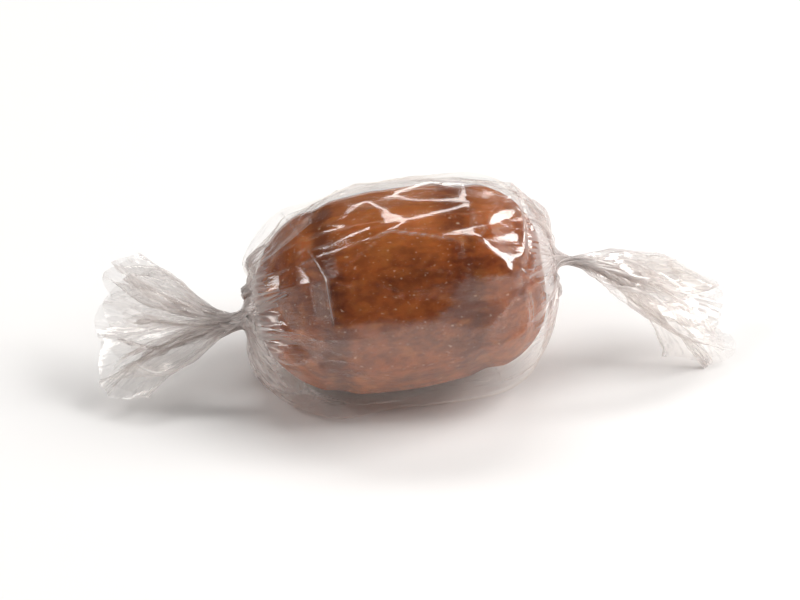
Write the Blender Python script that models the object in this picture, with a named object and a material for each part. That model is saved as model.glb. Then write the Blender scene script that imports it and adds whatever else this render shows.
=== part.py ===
"""A barrel-shaped boiled sweet twisted up in a clear wrapper, lying on its side.

The wrapper closes all round the sweet, so the whole is one closed solid: the
barrel, whose hoops and staves press through where the film is tight, the pouch
of slack film that it lies on, the pleated shoulders, the two twisted necks and
the two fanned tails. It is one loft of unlike sections along one line, from the
left tail's cut edge to the right tail's.

Lengths are in metres. +X runs along the sweet, -Y is its front, +Z is up, and
z = 0 is the surface that it lies on, with the origin in its flat rest.
"""

import math
import random

import bmesh
import bpy
from mathutils import Vector

MM = 0.001
NODE_NAME = "wrapped_candy"

# The sweet: a small barrel with two hoop grooves and flat staves.
CANDY_LENGTH = 23.0 * MM
BELLY_RADIUS = 8.2 * MM
RIM_RADIUS = 6.6 * MM
RIM_RUN_LEFT = 7.0 * MM
RIM_DROP_LEFT = 5.4 * MM
RIM_RUN_RIGHT = 5.2 * MM
RIM_DROP_RIGHT = 4.6 * MM
RIM_CURVE = 1.1
RIM_TURN = math.radians(78.0)
CANDY_TILT = math.radians(7.0)
CANDY_LIFT = 8.62 * MM
BARREL_ACROSS = Vector((0.0, 1.0, 0.0))
BARREL_UP = Vector((-math.sin(CANDY_TILT), 0.0, math.cos(CANDY_TILT)))
STAVES = 12
STAVE_FLATNESS = 0.75
HOOP_PLACE = 5.9 * MM
HOOP_WIDTH = 3.4 * MM
HOOP_DEPTH = 0.26 * MM

# The film round it.
FILM_TOP_GAP = 0.15 * MM
SLACK_LEFT = 0.9 * MM
SLACK_RIGHT = 1.6 * MM
END_SLACK_LEFT = 0.4 * MM
END_SLACK_RIGHT = 1.1 * MM
POUCH_LEFT = 1.5 * MM
PLEATS = 13
PLEAT_DEPTH = 0.30
RIM_PLEATING = 0.22
FOLD_SEED = 7

# The pinched necks, each with its height above or below the barrel's axis.
NECK_RADIUS = 1.15 * MM
NECK_LOBES = 5
NECK_LOBE_DEPTH = 0.22
NECK_OUT = 1.1 * MM
NECK_DROP_LEFT = -0.8 * MM
NECK_RISE_RIGHT = 0.6 * MM
NECK_TURN_LEFT = math.radians(-225.0)
NECK_TURN_RIGHT = math.radians(240.0)

# The tails: where each cut edge's middle is, and which way that edge runs.
TAIL_END_LEFT = Vector((-23.6, 1.2, 5.4)) * MM
TAIL_EDGE_LEFT = Vector((-0.10, 0.74, 0.66))
TAIL_HALF_WIDTH_LEFT = 5.4 * MM
TAIL_END_RIGHT = Vector((25.0, 1.6, 3.2)) * MM
TAIL_EDGE_RIGHT = Vector((0.30, 0.84, 0.46))
TAIL_HALF_WIDTH_RIGHT = 3.2 * MM
TAIL_RAGGED = 0.06
TAIL_RAGGED_TURNS = 7.0
TAIL_FOLDS = 5
TAIL_FOLD_DEPTH = 1.3 * MM
TAIL_THICKNESS = 0.6 * MM
TAIL_FLOOR_GAP = 0.1 * MM
FAN_STARTS = 0.14
FAN_OPEN = 0.55

# How finely the loft is cut.
POINTS_ROUND = 72
POINTS_ACROSS = POINTS_ROUND // 2
RIM_STATIONS = 5
LEAST_STEP = 0.3 * MM
SHOULDER_STATIONS = 3
TAIL_STATIONS = 13

CANDY_COLOUR = (0.235, 0.065, 0.018, 1.0)
FILM_COLOUR = (0.82, 0.78, 0.74, 1.0)


def smooth_step(low, high, value):
    """Rise smoothly from 0 at low to 1 at high."""
    part = min(1.0, max(0.0, (value - low) / (high - low)))
    return part * part * (3.0 - 2.0 * part)


def barrel_axis(x):
    """The point of the barrel's tilted axis at x."""
    return Vector((x * math.cos(CANDY_TILT), 0.0, CANDY_LIFT + x * math.sin(CANDY_TILT)))


def rim_shape(x):
    """The rim on x's side: where it starts, how far the film's runs from there, and how far it drops."""
    half = CANDY_LENGTH / 2.0
    if x < 0.0:
        return half - RIM_RUN_LEFT, RIM_RUN_LEFT + END_SLACK_LEFT, RIM_DROP_LEFT
    return half - RIM_RUN_RIGHT, RIM_RUN_RIGHT + END_SLACK_RIGHT, RIM_DROP_RIGHT


def barrel_radius(x):
    """The wrapped barrel's radius at x: a bulge with rounded rims."""
    start, run, drop = rim_shape(x)
    bulge = BELLY_RADIUS - (BELLY_RADIUS - RIM_RADIUS) * (2.0 * x / CANDY_LENGTH) ** 2
    past = min(1.0, max(0.0, (abs(x) - start) / run))
    return bulge - drop * (1.0 - math.sqrt(1.0 - past * past)) ** RIM_CURVE


def hoop_groove(x):
    """The depth of the hoop grooves at x along the barrel."""
    depth = 0.0
    for place in (-HOOP_PLACE, HOOP_PLACE):
        away = abs(x - place) / (HOOP_WIDTH / 2.0)
        if away < 1.0:
            depth += HOOP_DEPTH * (0.5 + 0.5 * math.cos(math.pi * away))
    return depth


def stave_dip(angle):
    """How far a flat stave lies inside the barrel's circle, as a part of its radius."""
    step = 2.0 * math.pi / STAVES
    off_middle = (angle + step / 2.0) % step - step / 2.0
    flat = math.cos(step / 2.0) / math.cos(off_middle)
    return STAVE_FLATNESS * (1.0 - flat)


def pleat_places(count, seed):
    """Uneven angles, in order, at which the folds of the gathered film stand."""
    draw = random.Random(seed)
    step = 2.0 * math.pi / count
    return [step * (i + draw.uniform(-0.22, 0.22)) for i in range(count)]


PLEAT_PLACES = pleat_places(PLEATS, FOLD_SEED)


def pleat_wave(angle):
    """From 1 on a pleat's ridge down to -1 half way to the next one."""
    nearest = min(abs((angle - place + math.pi) % (2.0 * math.pi) - math.pi) for place in PLEAT_PLACES)
    spacing = math.pi / PLEATS
    return 1.0 - 2.0 * min(1.0, nearest / spacing)


def lowness(angle):
    """1 on the slack film under the barrel, and 0 on the tight film over it."""
    return smooth_step(-0.10, -0.90, math.sin(angle))


def film_radius(x, rim_radius, angle):
    """The film's distance from the barrel's axis, tight above and slack below."""
    low = lowness(angle)
    tight = 1.0 - low
    along = smooth_step(-CANDY_LENGTH / 2.0, CANDY_LENGTH / 2.0, x)
    slack = SLACK_LEFT + (SLACK_RIGHT - SLACK_LEFT) * along
    slack *= smooth_step(NECK_RADIUS, BELLY_RADIUS, rim_radius)
    pressed = stave_dip(angle) * rim_radius + hoop_groove(x)
    return rim_radius + FILM_TOP_GAP + slack * low - pressed * tight


def body_outline(x, rim_radius, pleating):
    """One section round the barrel, as (across, up) in the section's plane."""
    points = []
    for i in range(POINTS_ROUND):
        angle = 2.0 * math.pi * i / POINTS_ROUND
        radius = film_radius(x, rim_radius, angle)
        radius *= 1.0 + pleating * PLEAT_DEPTH * pleat_wave(angle)
        points.append((radius * math.cos(angle), radius * math.sin(angle)))
    return points


def rope_outline():
    """One section of a twisted neck: a small round with lobes."""
    points = []
    for i in range(POINTS_ROUND):
        angle = 2.0 * math.pi * i / POINTS_ROUND
        radius = NECK_RADIUS * (1.0 + NECK_LOBE_DEPTH * math.cos(NECK_LOBES * angle))
        points.append((radius * math.cos(angle), radius * math.sin(angle)))
    return points


def fold_height(across, opened, phase):
    """The tail's zigzag, for across from -1 to 1 over its width."""
    turns = across * TAIL_FOLDS / 2.0 + phase + 0.35 * math.sin(2.3 * across + 5.0 * phase)
    saw = 2.0 * abs(2.0 * (turns - math.floor(turns + 0.5))) - 1.0
    uneven = 0.75 + 0.25 * math.sin(4.1 * across + 9.0 * phase)
    return TAIL_FOLD_DEPTH * opened * saw * uneven


def fan_outline(half_width, opened, phase):
    """One section of a tail: a thin folded band, out on its face and back on its back."""
    points = []
    for i in range(POINTS_ROUND):
        on_face = i < POINTS_ACROSS
        step = i if on_face else POINTS_ROUND - i
        across = 1.0 - 2.0 * step / POINTS_ACROSS
        side = 1.0 if on_face else -1.0
        at_edge = step in (0, POINTS_ACROSS)
        skin = 0.0 if at_edge else side * TAIL_THICKNESS / 2.0
        points.append((half_width * across, fold_height(across, opened, phase) + skin))
    return points


def mixed(first, second, share):
    """A section between two others."""
    return [
        (a[0] + (b[0] - a[0]) * share, a[1] + (b[1] - a[1]) * share)
        for a, b in zip(first, second)
    ]


def placed(outline, centre, across, up):
    """The section's points in space."""
    return [centre + across * p + up * q for p, q in outline]


def swept(across, out, half_width):
    """How far a tail's point lies along its tail from its section's middle.

    The fan's creases are all about as long, so its sides fall back, and its cut edge is ragged.
    """
    back = across * across / (2.0 * max(out, 2.0 * half_width))
    ragged = TAIL_RAGGED * out * math.sin(TAIL_RAGGED_TURNS * across / half_width)
    return ragged - back


def rim_place(side, share):
    """The x of a section on one rim, for share from 0 where it starts to 1 at its end."""
    start, run, _ = rim_shape(side)
    return side * (start + run * math.sin(RIM_TURN * share))


def barrel_places():
    """The x of each section over the barrel, closer together over the hoops and rims."""
    marks = [-3.2 * MM, -1.1 * MM, 1.1 * MM, 3.2 * MM]
    for side in (-1, 1):
        marks += [side * HOOP_PLACE + HOOP_WIDTH / 2.0 * share for share in (-1.0, -0.5, 0.0, 0.5, 1.0)]
        marks += [rim_place(side, (i + 1) / RIM_STATIONS) for i in range(RIM_STATIONS)]
    marks.sort()
    places = marks[:1]
    for mark in marks[1:]:
        if mark - places[-1] > LEAST_STEP:
            places.append(mark)
    return places


def outward_axis(side):
    """The barrel's axis, pointing out of one end."""
    return Vector((side * math.cos(CANDY_TILT), 0.0, side * math.sin(CANDY_TILT)))


def hang_out(section, share):
    """Move the section's slack film out past the barrel's left end, where it hangs in a pouch."""
    for i, point in enumerate(section):
        point += outward_axis(-1) * POUCH_LEFT * share * lowness(2.0 * math.pi * i / POINTS_ROUND)


def body_sections():
    """The sections over the barrel, from its left rim to its right rim."""
    sections = []
    for x in barrel_places():
        start, run, _ = rim_shape(x)
        pleating = RIM_PLEATING * smooth_step(start, start + run, abs(x))
        outline = body_outline(x, barrel_radius(x), pleating)
        section = placed(outline, barrel_axis(x), BARREL_ACROSS, BARREL_UP)
        if x < 0.0:
            hang_out(section, smooth_step(start - run / 2.0, start + run / 2.0, -x))
        sections.append(section)
    return sections


def neck_point(side):
    """The middle of the pinch on one side."""
    shift = NECK_DROP_LEFT if side < 0 else NECK_RISE_RIGHT
    return barrel_axis(side * (CANDY_LENGTH / 2.0 + NECK_OUT)) + Vector((0.0, 0.0, shift))


def square_to(along, edge):
    """The part of the edge's direction that is square to along, at length 1."""
    return (edge - along * edge.dot(along)).normalized()


def pinch_angle(side):
    """How far the twist has turned the film at the pinch, from its place on the barrel."""
    edge = TAIL_EDGE_LEFT if side < 0 else TAIL_EDGE_RIGHT
    turn = NECK_TURN_LEFT if side < 0 else NECK_TURN_RIGHT
    flat_edge = square_to(outward_axis(side), edge)
    edge_angle = math.atan2(flat_edge.dot(BARREL_UP), flat_edge.y)
    return (edge_angle + side * turn + math.pi) % (2.0 * math.pi) - math.pi


def turned(outline, angle):
    """The section turned in its plane."""
    c, s = math.cos(angle), math.sin(angle)
    return [(p * c - q * s, p * s + q * c) for p, q in outline]


def shoulder_sections(side):
    """The pleated film from a rim in to its neck, outwards."""
    rim_x = rim_place(side, 1.0)
    rim_radius = barrel_radius(rim_x)
    sections = []
    for i in range(1, SHOULDER_STATIONS + 1):
        share = i / (SHOULDER_STATIONS + 1.0)
        radius = rim_radius + (NECK_RADIUS - rim_radius) * share ** 0.9
        centre = barrel_axis(rim_x).lerp(neck_point(side), share ** 1.3)
        outline = body_outline(rim_x, radius, RIM_PLEATING + (1.0 - RIM_PLEATING) * share)
        outline = mixed(outline, rope_outline(), share ** 3)
        outline = turned(outline, pinch_angle(side) * share)
        section = placed(outline, centre, BARREL_ACROSS, BARREL_UP)
        if side < 0:
            hang_out(section, 1.0 - share)
        sections.append(section)
    return sections


def curve_point(corners, share):
    """A point of the cubic curve with these four corners, and its direction."""
    a, b, c, d = corners
    rest = 1.0 - share
    point = a * rest ** 3 + b * 3.0 * rest ** 2 * share + c * 3.0 * rest * share ** 2 + d * share ** 3
    slope = (b - a) * 3.0 * rest ** 2 + (c - b) * 6.0 * rest * share + (d - c) * 3.0 * share ** 2
    return point, slope.normalized()


def tail_sections(side):
    """A neck and its tail, from the pinch out to the cut edge."""
    end = TAIL_END_LEFT if side < 0 else TAIL_END_RIGHT
    edge = TAIL_EDGE_LEFT if side < 0 else TAIL_EDGE_RIGHT
    half_width = TAIL_HALF_WIDTH_LEFT if side < 0 else TAIL_HALF_WIDTH_RIGHT
    turn = NECK_TURN_LEFT if side < 0 else NECK_TURN_RIGHT
    start = neck_point(side)
    reach = (end - start).length
    corners = (start, start + outward_axis(side) * reach * 0.3, end - (end - start) * 0.35, end)
    sections = []
    for i in range(TAIL_STATIONS + 1):
        share = i / TAIL_STATIONS
        centre, along = curve_point(corners, share)
        flat_edge = square_to(along, edge)
        left_to_turn = turn * (1.0 - smooth_step(0.0, 0.42, share))
        across = flat_edge * math.cos(left_to_turn) + along.cross(flat_edge) * math.sin(left_to_turn)
        up = along.cross(across) * side
        opened = smooth_step(FAN_STARTS, 1.0, share)
        width = NECK_RADIUS + (half_width - NECK_RADIUS) * max(0.0, share - FAN_STARTS) / (1.0 - FAN_STARTS)
        fan = fan_outline(width, opened, 0.2 + 0.12 * side + 0.2 * share)
        share_of_fan = smooth_step(FAN_STARTS, FAN_OPEN, share)
        outline = mixed(rope_outline(), fan, share_of_fan)
        section = placed(outline, centre, across, up)
        for point, (p, _) in zip(section, outline):
            point += along * swept(p, reach * share, half_width) * share_of_fan
        sections.append(section)
    for section in sections:
        for point in section:
            point.z = max(point.z, TAIL_FLOOR_GAP)
    return sections


def all_sections():
    """Every section of the loft, from the left tail's cut edge to the right tail's."""
    body = body_sections()
    for section in body:
        for point in section:
            point.z = max(point.z, 0.0)
    left = shoulder_sections(-1) + tail_sections(-1)
    right = shoulder_sections(1) + tail_sections(1)
    return left[::-1] + body + right


def add_cut_edge(mesh, ring, outward):
    """Close the loft's end between the face and the back of the folded band."""
    faces = [(ring[0], ring[1], ring[-1])]
    for i in range(1, POINTS_ACROSS - 1):
        faces.append((ring[i], ring[i + 1], ring[POINTS_ROUND - i - 1], ring[POINTS_ROUND - i]))
    last = POINTS_ACROSS - 1
    faces.append((ring[last], ring[last + 1], ring[last + 2]))
    for corners in faces:
        mesh.faces.new(corners if outward else corners[::-1])


def loft(name, sections):
    """One closed object through the sections, which all have POINTS_ROUND points."""
    mesh = bmesh.new()
    rings = [[mesh.verts.new(point) for point in section] for section in sections]
    for ring, following in zip(rings, rings[1:]):
        for i in range(POINTS_ROUND):
            j = (i + 1) % POINTS_ROUND
            mesh.faces.new((ring[i], ring[j], following[j], following[i]))
    add_cut_edge(mesh, rings[0], False)
    add_cut_edge(mesh, rings[-1], True)
    bmesh.ops.recalc_face_normals(mesh, faces=mesh.faces[:])
    data = bpy.data.meshes.new(name)
    mesh.to_mesh(data)
    mesh.free()
    return bpy.data.objects.new(name, data)


def plain_material(name, colour, roughness):
    """A plain glossy material."""
    material = bpy.data.materials.new(name)
    material.use_nodes = True
    shader = material.node_tree.nodes["Principled BSDF"]
    shader.inputs["Base Color"].default_value = colour
    shader.inputs["Roughness"].default_value = roughness
    shader.inputs["Metallic"].default_value = 0.0
    return material


def colour_by_place(candy):
    """Sweet colour on the barrel, film colour past its ends."""
    candy.data.materials.append(plain_material("amber_sweet", CANDY_COLOUR, 0.18))
    candy.data.materials.append(plain_material("clear_film", FILM_COLOUR, 0.10))
    reach = CANDY_LENGTH / 2.0 * math.cos(CANDY_TILT)
    for face in candy.data.polygons:
        face.material_index = 1 if abs(face.center.x) > reach else 0


def clear_scene():
    """Remove whatever the file starts with."""
    for item in list(bpy.data.objects):
        bpy.data.objects.remove(item, do_unlink=True)


def main():
    """Build the wrapped sweet in its own collection."""
    clear_scene()
    collection = bpy.data.collections.new("root_beer_barrel_candy")
    bpy.context.scene.collection.children.link(collection)
    candy = loft(NODE_NAME, all_sections())
    collection.objects.link(candy)
    colour_by_place(candy)
    candy.data.shade_smooth()
    candy.data.set_sharp_from_angle(angle=math.radians(35.0))


main()
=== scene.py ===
"""The looks of a barrel-shaped boiled sweet in its clear twist wrapper.

The sweet is a translucent amber barrel with flat staves and two hoop grooves. The
wrapper is one sheet of thin clear film: it starts from the wrapper's form, worked
out by formula, and is then relaxed towards its true flat size, so that it gathers,
folds and creases as film does. Lengths of the sweet and its film are in millimetres,
and their meshes are scaled to metres when they are made. The stage is in metres.
"""

import math

import bpy
import numpy as np
from mathutils import Matrix, Vector
from mathutils.geometry import delaunay_2d_cdt


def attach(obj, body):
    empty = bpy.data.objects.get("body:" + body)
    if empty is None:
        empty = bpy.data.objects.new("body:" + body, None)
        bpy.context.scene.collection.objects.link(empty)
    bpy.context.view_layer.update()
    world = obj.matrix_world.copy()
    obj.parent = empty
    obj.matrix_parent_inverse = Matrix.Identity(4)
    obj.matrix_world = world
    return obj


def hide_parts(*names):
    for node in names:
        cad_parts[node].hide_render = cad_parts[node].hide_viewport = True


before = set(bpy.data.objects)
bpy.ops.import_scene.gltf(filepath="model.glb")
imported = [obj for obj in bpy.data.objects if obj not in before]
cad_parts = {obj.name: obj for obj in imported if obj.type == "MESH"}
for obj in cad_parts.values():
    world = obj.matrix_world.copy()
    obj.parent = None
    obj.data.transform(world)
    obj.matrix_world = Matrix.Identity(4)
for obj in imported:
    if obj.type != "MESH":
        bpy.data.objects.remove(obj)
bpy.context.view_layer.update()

MM = 0.001
NODE = "wrapped_candy"
BODY = "root"
LEFT = -1
RIGHT = 1
SIDES = (LEFT, RIGHT)
FULL_TURN = 2.0 * math.pi
TINY = 1e-9
NEARLY = 1e-6

# A pair whose name ends in RUN, RANGE or FADE says where a share is 0 and where it is 1.
# PLEAT_HEIGHTS, FAN_PLEAT_WIDTHS and LARGE_LIFTS are the least and the most of a random draw.

# The sweet, as in the CAD.
CANDY_LENGTH = 23.0
HALF_LENGTH = CANDY_LENGTH / 2.0
BELLY_RADIUS = 8.2
RIM_RADIUS = 6.6
RIM_LENGTH = {LEFT: 7.0, RIGHT: 5.2}
RIM_DROP = {LEFT: 5.4, RIGHT: 4.6}
RIM_CURVE = 1.1
FILM_RIM_TURN = math.radians(78.0)
CANDY_TILT = math.radians(7.0)
TILT_COS, TILT_SIN = math.cos(CANDY_TILT), math.sin(CANDY_TILT)
CANDY_LIFT = 8.62
STAVES = 12
STAVE_FLATNESS = 0.75
HOOP_PLACE = 5.9
HOOP_WIDTH = 3.4
HOOP_DEPTH = 0.26

# The sweet's own mesh. Each row of lumps has a size, a seed and a height.
FULL_RIM_TURN = math.radians(90.0)
RIM_POINTS = 32
BELLY_POINTS = 60
CANDY_ROWS = 240
CANDY_COLUMNS = 320
PLAIN_END_RADIUS = 1.0
LUMPS = ((5.0, 3, 0.10), (1.6, 4, 0.04))
LUMP_WAY = (0.25, 1.0, 1.0)
NOISE_CELLS = 32
NOISE_SHIFT = 100.0

# The film's form, as in the CAD.
SLACK = {LEFT: 0.9, RIGHT: 1.6}
END_SLACK = {LEFT: 0.4, RIGHT: 1.1}
POUCH_LEFT = 1.5
NECK_RADIUS = 1.15
NECK_OUT = 1.1
NECK_REACH = HALF_LENGTH + NECK_OUT
NECK_SHIFT = {LEFT: -0.8, RIGHT: 0.6}
NECK_TURN = {LEFT: math.radians(-225.0), RIGHT: math.radians(240.0)}
TAIL_END = {LEFT: (-23.6, 1.2, 5.4), RIGHT: (25.0, 1.6, 3.2)}
TAIL_EDGE = {LEFT: (-0.10, 0.74, 0.66), RIGHT: (0.30, 0.84, 0.46)}
TAIL_HALF_WIDTH = {LEFT: 5.4, RIGHT: 3.2}
FAN_STARTS = 0.14
FAN_OPEN = 0.55

# The film's sheet, and how far it keeps off what it touches.
FILM_GAP = 0.12
FLOOR_GAP = 0.06
LAYER_GAP = 0.15
OVERLAP = 0.12
SEAM_ANGLE = math.radians(57.0)
SLACK_ROUND = 2.2
FILM_SEED = 11

# The film round the barrel, in its first form.
SLACK_ROUND_RANGE = (6.0, 8.0)
LOOSE_END_RANGE = (BELLY_RADIUS, 6.2)
LOW_RANGE = (-0.10, -0.90)
POUCH_RUN_AND_FADE = ((0.0, 3.0), (11.0, 6.0))
PLEATS = 22
PLEAT_SHIFT = 0.3
PLEAT_HEIGHTS = (0.55, 1.35)
PLEAT_NECK_RANGE = (NECK_RADIUS, 3.0)
PLEAT_BELLY_RANGE = (8.1, 6.8)
SHOULDER_TWIST_RUN = (3.0, 0.0)
NECK_SHIFT_RUN = (5.5, 0.0)

# The tails, in their first form.
CURVE_POINTS = 200
TAIL_LEAVES = 0.3
TAIL_ARRIVES = 0.35
NECK_TURN_RUN = (0.0, 0.42)
TAIL_SEED = {LEFT: 5, RIGHT: 9}
TAIL_UNEVEN = 0.24
TAIL_FOLD_DEPTH = 1.2
TAIL_BUNDLED = 2.2
CREASES_PAST_EDGE = 6.0
MOST_OPEN = 0.96
FAN_PLEAT_WIDTHS = (1.4, 3.6)
FAN_PLEAT_LEAST = 0.8
FAN_PLEAT_OPEN_MORE = 0.5
FAN_PLEAT_TILT = 0.92
FAN_BELLY = 0.35
NECK_FOLD_WIDTH = 1.1
NECK_FOLD_DEPTH = 0.9
NECK_FOLD_FADE = (0.75, 0.25)
NECK_LOBES = 9.0
NECK_LOBE_DEPTH = 0.3
NECK_LOBE_TWIST = 2.0

# Relaxing the film. Each row of stiffness has a share, the most that it moves and its reach.
COARSE_GRID = (165, 137)
COARSE_STEPS_AND_SAG = (400, 0.0020)
FINE_STEPS_AND_SAG = (220, 0.0010)
SAG_RUN = (1.0, 7.0)
START_NOISE = 0.03
STIFFNESS = ((0.25, 0.05, 1), (0.15, 0.10, 3))
SMOOTHING = (0.6, 0.03, 1)
SMOOTHING_STEPS = 6
PULL = 0.95
PUSH = 0.6
DIAGONAL_PUSH = 0.6
POUCH_STRETCH = 0.15
STRETCH_RUN_AND_FADE = ((0.0, 1.0), (10.0, 5.0))
WITHIN_END = 0.998
SLOPE_STEP = 0.01
STEEPEST = 4.0
NECK_HOLD = 0.6
FAN_SIDE_ROOM = 1.12
FAN_FOLD_ROOM = 1.6
END_FREEDOM = 0.97

# The creases: large facets where the film lies near the sweet, then three sizes of fine ones.
# Each row has a spacing, a stretch lengthwise, a seed, and its height on barrel, rims and tails.
FACET_SHIFT = 0.42
LARGE_FACET = 4.4
LARGE_STRETCH = 1.5
LARGE_SEED = 31
LARGE_LIFTS = (0.15, 0.80)
LARGE_RUN = (3.0, 8.0)
LARGE_GAP_RANGE = (1.8, 0.7)
FINE_CREASES = (
    (3.1, 1.6, 34, 0.35, 0.20, 0.0),
    (1.9, 2.0, 32, 0.42, 0.10, 0.45),
    (1.2, 5.0, 33, 0.07, 0.60, 0.24),
)
RIM_CREASE_RUN = (10.0, 3.0)
BODY_CREASE_RUN = (0.0, 3.0)
TAIL_CREASE_RUN = (0.0, -3.0)
BOTH_WAYS_RANGE = (0.3, 1.0)
EDGE_COLUMNS = 6
EDGE_LAY_RUN = (10.0, 7.5)

# What the film's material reads from its points.
CREASE_BEND_RANGE = (0.08, 0.6)
TAIL_LOOK_RUN = (0.5, -2.0)
NECK_LOOK_RUN = (3.2, 0.4)
LEAST_RIPPLE = 0.22
RIPPLE_RUN = (10.0, 4.0)

# The film's material. A noise has its scale along each axis and its detail.
FILM_CLEAR = (0.990, 0.985, 0.983)
FILM_MIRROR = (1.0, 0.97, 0.93)
# The haze is whitish, tinted pink as painted light bounced from the amber sweet.
FILM_HAZE_WITH_PAINTED_WARM_BOUNCE = (0.94, 0.89, 0.87)
FILM_ROUGHNESS = 0.16
RIPPLES = ((1.7, 0.40, 1.0), 3.0)
RIPPLE_HEIGHT = 0.10
MIRROR_FACE_ON = 0.108
MIRROR_AT_SLANT = 0.7
MIRROR_LOST_IN_TAIL = 0.3
SLANT_POWER = 5.0
TAIL_STREAKS = ((2.2, 0.3, 1.0), 2.0)
TAIL_STREAK_RANGE = (0.50, 0.75)
HAZE_LEAST = 0.003
HAZE_TAIL = 0.30
HAZE_CREASE = 0.40
HAZE_NECK = 0.38
HAZE_MOST = 0.7

# The sweet's material: its tones, and its noises, whose scales are to a metre.
AMBER = (0.470, 0.131, 0.029)
AMBER_DEEP = (0.115, 0.021, 0.006)
# The pale amber is both the sugar's paler tone and painted light: the glow of its patches and the light on
# its top.
AMBER_PALE_AND_PAINTED_LIGHT = (0.660, 0.230, 0.054)
AMBER_THROUGH = (0.75, 0.36, 0.12)
# The speck tone is partly the sugar's own pale dots and partly painted glints.
SPECK_AND_PAINTED_GLINT_TONE = (0.80, 0.55, 0.36)
STREAKS = ((90.0, 900.0, 900.0), 4.0)
CLOUDS = ((160.0, 260.0, 260.0), 3.0)
SPECK_AND_GLINT_NOISE = ((2600.0, 3800.0, 3800.0), 2.0)
GRAIN = ((1300.0, 2100.0, 2100.0), 5.0)
PALE_PATCHES_AND_PAINTED_GLOW = ((420.0, 640.0, 640.0), 4.0)
WANDER = ((300.0, 420.0, 420.0), 3.0)

# Where the sweet is darker: the bands near its hoops, streaks, clouds, grain, and painted shade on its
# underside.
BAND_PLACE = 5.35
BAND_LEFTWARD = 0.35
BAND_WANDER = 1.2
BAND_RANGE = (1.9, 0.1)
TONE_RANGE = (0.35, 0.65)
GRAIN_RANGE = (0.69, 0.31)
PAINTED_UNDERSIDE_SHADE_RUN = (-5.5, -8.0)
DEEP_BAND = 0.48
DEEP_STREAK = 0.13
DEEP_CLOUD = 0.30
DEEP_GRAIN = 0.46
PAINTED_UNDERSIDE_SHADE = 0.45
DEEP_MOST = 0.88

# Where the sweet is paler: its paler patches, partly painted glow; its top, with painted light; and its pale
# dots, partly painted glints.
PALE_PATCHES_AND_PAINTED_GLOW_RANGE = (0.51, 0.70)
PALE_PATCHES_AND_PAINTED_GLOW_SHARE = 0.40
PAINTED_TOP_LIGHT_RUN = (5.0, 8.2)
PAINTED_TOP_LIGHT_SHARE = 0.42
PAINTED_TOP_LIGHT_LOST_ON_BAND = 0.7
SPECK_AND_PAINTED_GLINT_RANGE = (0.64, 0.76)
SPECK_AND_PAINTED_GLINT_SHARE = 0.60

# How the sweet takes light.
CANDY_ROUGHNESS = 0.16
CANDY_SPECULAR = 0.25
SUBSURFACE_SHARE = 0.75
SUBSURFACE_REACH = 4.0
SUBSURFACE_TONE = (1.0, 0.35, 0.12)
THROUGH_SHARE = 0.14
BUMP_STRENGTH = 0.35
BUMP_HEIGHT = 0.15
BUMP_STREAKS = 0.6
BUMP_SPECKS = 0.5
BUMP_GRAIN = 0.8

# The stage, in metres. Each lamp has a name, a place, a size and a power.
FLOOR_HALF = 1.5
FLOOR_COLOUR = (0.93, 0.91, 0.89)
FLOOR_ROUGHNESS = 0.5
LAMP_TARGET = (0.0, 0.0, 0.008)
LAMPS = (
    ("left", (-0.60, -0.12, 0.56), (0.30, 0.23), 1.8),
    ("right", (0.62, -0.02, 0.56), (0.54, 0.44), 7.7),
    ("back", (0.0, 0.50, 0.82), (0.76, 0.18), 3.1),
)
SKY_HORIZON = 0.62
SKY_OVERHEAD = 0.04
SKY_UPWARD_RANGE = (0.02, 0.5)
SKY_BACKWARD_RANGE = (-0.1, 0.7)
SKY_BACK_SHARE = 0.5
VIEW_YAW = math.radians(5.0)
VIEW_ELEVATION = math.radians(33.0)
VIEW_DISTANCE = 0.45
VIEW_WIDTH = 0.064
VIEW_TARGET = Vector((0.0, 0.0, 0.0075))
VIEW_CLIP_START = 0.01


def smooth_step(low, high, value):
    """Rise smoothly from 0 at low to 1 at high."""
    part = np.clip((value - low) / (high - low), 0.0, 1.0)
    return part * part * (3.0 - 2.0 * part)


def hump(rise, fall, value):
    """Rise smoothly from 0 to 1 over one run, and fall back to 0 over the other."""
    return smooth_step(*rise, value) * smooth_step(*fall, value)


def lattice_noise(points, size, seed):
    """Smooth noise from -1 to 1 at the points, with features about size across."""
    draw = np.random.default_rng(seed)
    table = draw.uniform(-1.0, 1.0, (NOISE_CELLS, NOISE_CELLS, NOISE_CELLS))
    scaled = points / size + NOISE_SHIFT
    cell = np.floor(scaled).astype(int)
    part = smooth_step(0.0, 1.0, scaled - cell)
    total = 0.0
    for corner in np.ndindex(2, 2, 2):
        weight = 1.0
        for axis in range(3):
            weight = weight * (part[..., axis] if corner[axis] else 1.0 - part[..., axis])
        index = tuple((cell[..., axis] + corner[axis]) % NOISE_CELLS for axis in range(3))
        total = total + weight * table[index]
    return total


def unit(vectors):
    """The vectors at length 1."""
    return vectors / np.maximum(np.linalg.norm(vectors, axis=-1, keepdims=True), TINY)


def way_along(points):
    """How far along the polyline each of its points is."""
    steps = np.linalg.norm(np.diff(points, axis=0), axis=1)
    return np.concatenate([[0.0], np.cumsum(steps)])


def between_known(places, known, points):
    """The points at the places, between those at the known places."""
    return np.stack([np.interp(places, known, points[:, i]) for i in range(points.shape[1])], axis=1)


def add_object(name, data):
    """A new object in the scene."""
    thing = bpy.data.objects.new(name, data)
    bpy.context.scene.collection.objects.link(thing)
    return thing


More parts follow.
